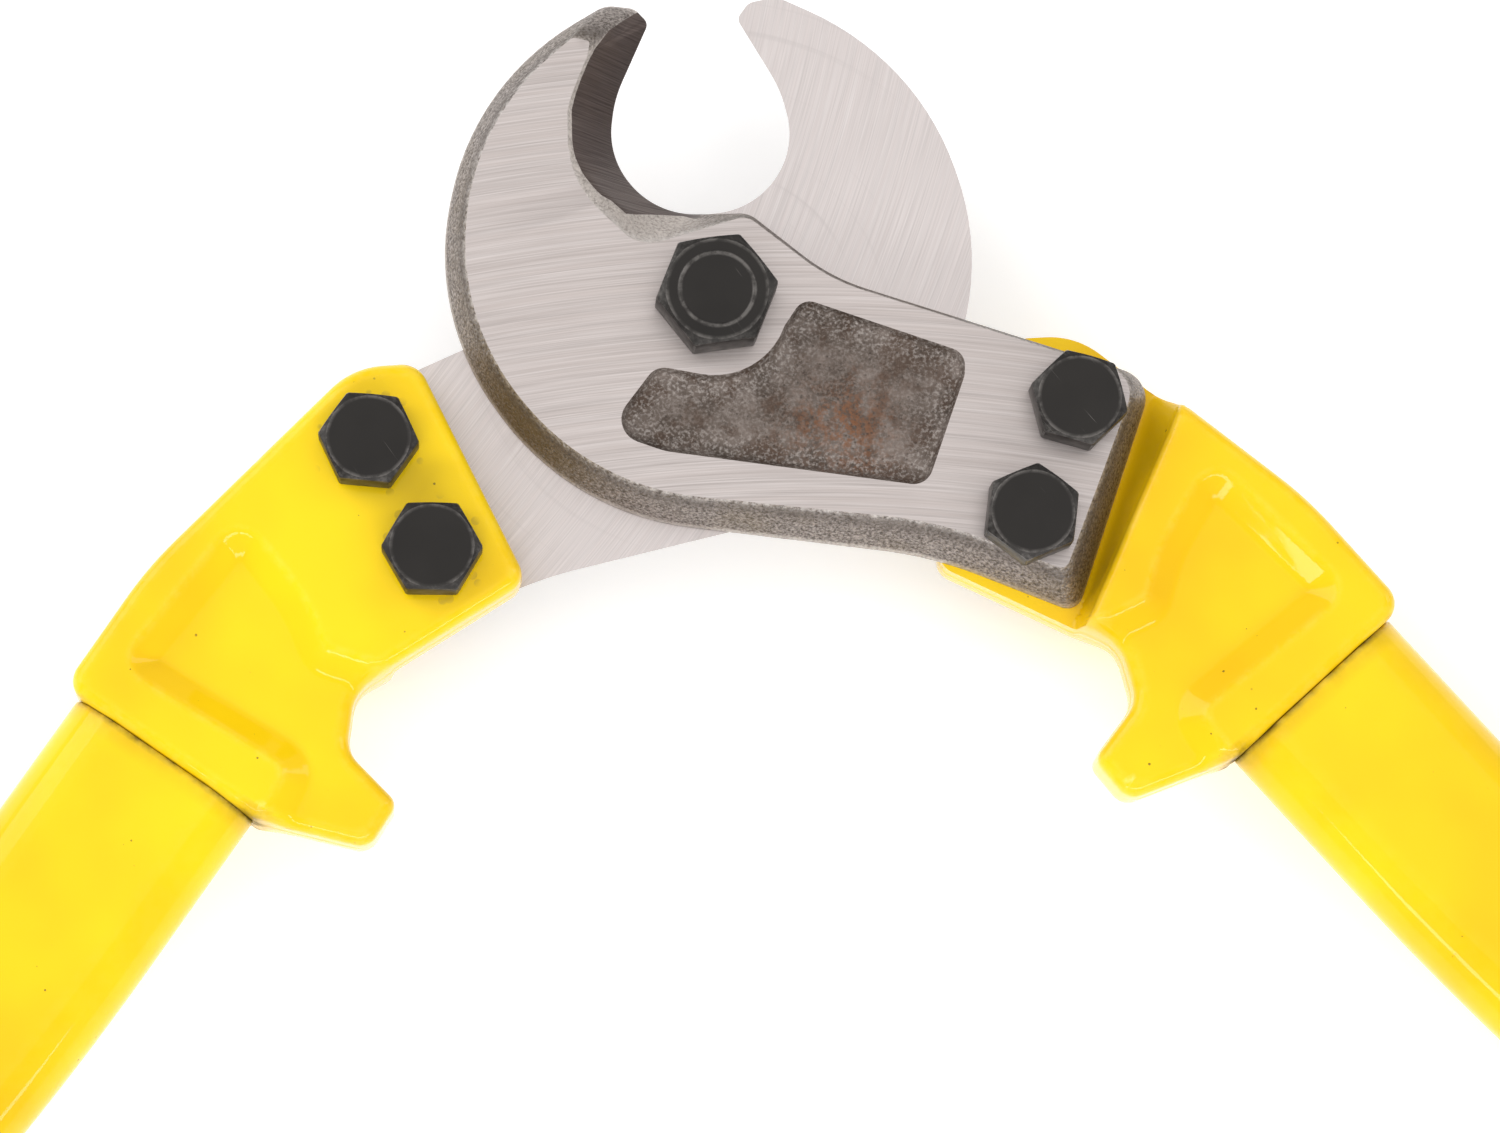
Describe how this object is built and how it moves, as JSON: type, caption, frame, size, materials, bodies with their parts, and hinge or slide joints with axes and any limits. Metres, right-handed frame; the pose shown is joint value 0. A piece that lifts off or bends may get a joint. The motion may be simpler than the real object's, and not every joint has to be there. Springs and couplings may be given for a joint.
{
  "type": "bolt cutter",
  "caption": "Two-handled bolt and cable cutter with hooked jaws lapped on a pivot bolt, cast heads bolted to the jaws, and bent oval tube handles with ribbed sleeves.",
  "frame": {"origin": "on the pivot axis, in the plane where the two jaws slide on each other", "axes": "+Z along the pivot axis towards the pivot bolt's head; +Y along the tool from the handles to the jaws; +X to the right as seen from the bolt head, across the spread handles"},
  "size_m": [0.576, 0.3577, 0.0366],
  "materials": {
    "forged_steel": "ground faces on a rough forged blank",
    "yellow_paint": "gloss enamel",
    "black_oxide": "black oxide, satin",
    "bare_washer": "plated, satin",
    "ring_nylon": "moulded nylon",
    "grip_rubber": "matt moulded rubber"
  },
  "bodies": {
    "right_half": {"front_jaw": "forged_steel", "pivot_bolt": "black_oxide", "pivot_washer": "bare_washer", "pivot_nut": "black_oxide", "pivot_nut_ring": "ring_nylon", "right_head": "yellow_paint", "right_outer_bolt": "black_oxide", "right_inner_bolt": "black_oxide", "right_outer_washer": "black_oxide", "right_inner_washer": "black_oxide", "right_outer_nut": "black_oxide", "right_inner_nut": "black_oxide", "right_tube": "yellow_paint", "right_grip": "grip_rubber"},
    "left_half": {"rear_jaw": "forged_steel", "left_head": "yellow_paint", "left_outer_bolt": "black_oxide", "left_inner_bolt": "black_oxide", "left_outer_washer": "black_oxide", "left_inner_washer": "black_oxide", "left_outer_nut": "black_oxide", "left_inner_nut": "black_oxide", "left_tube": "yellow_paint", "left_grip": "grip_rubber"}
  },
  "joints": [
    {"name": "pivot_hinge", "type": "hinge", "parent": "right_half", "child": "left_half", "pos_m": [0, 0, 0], "axis": [0, 0, 1], "range_deg": [-49, 71]}
  ]
}
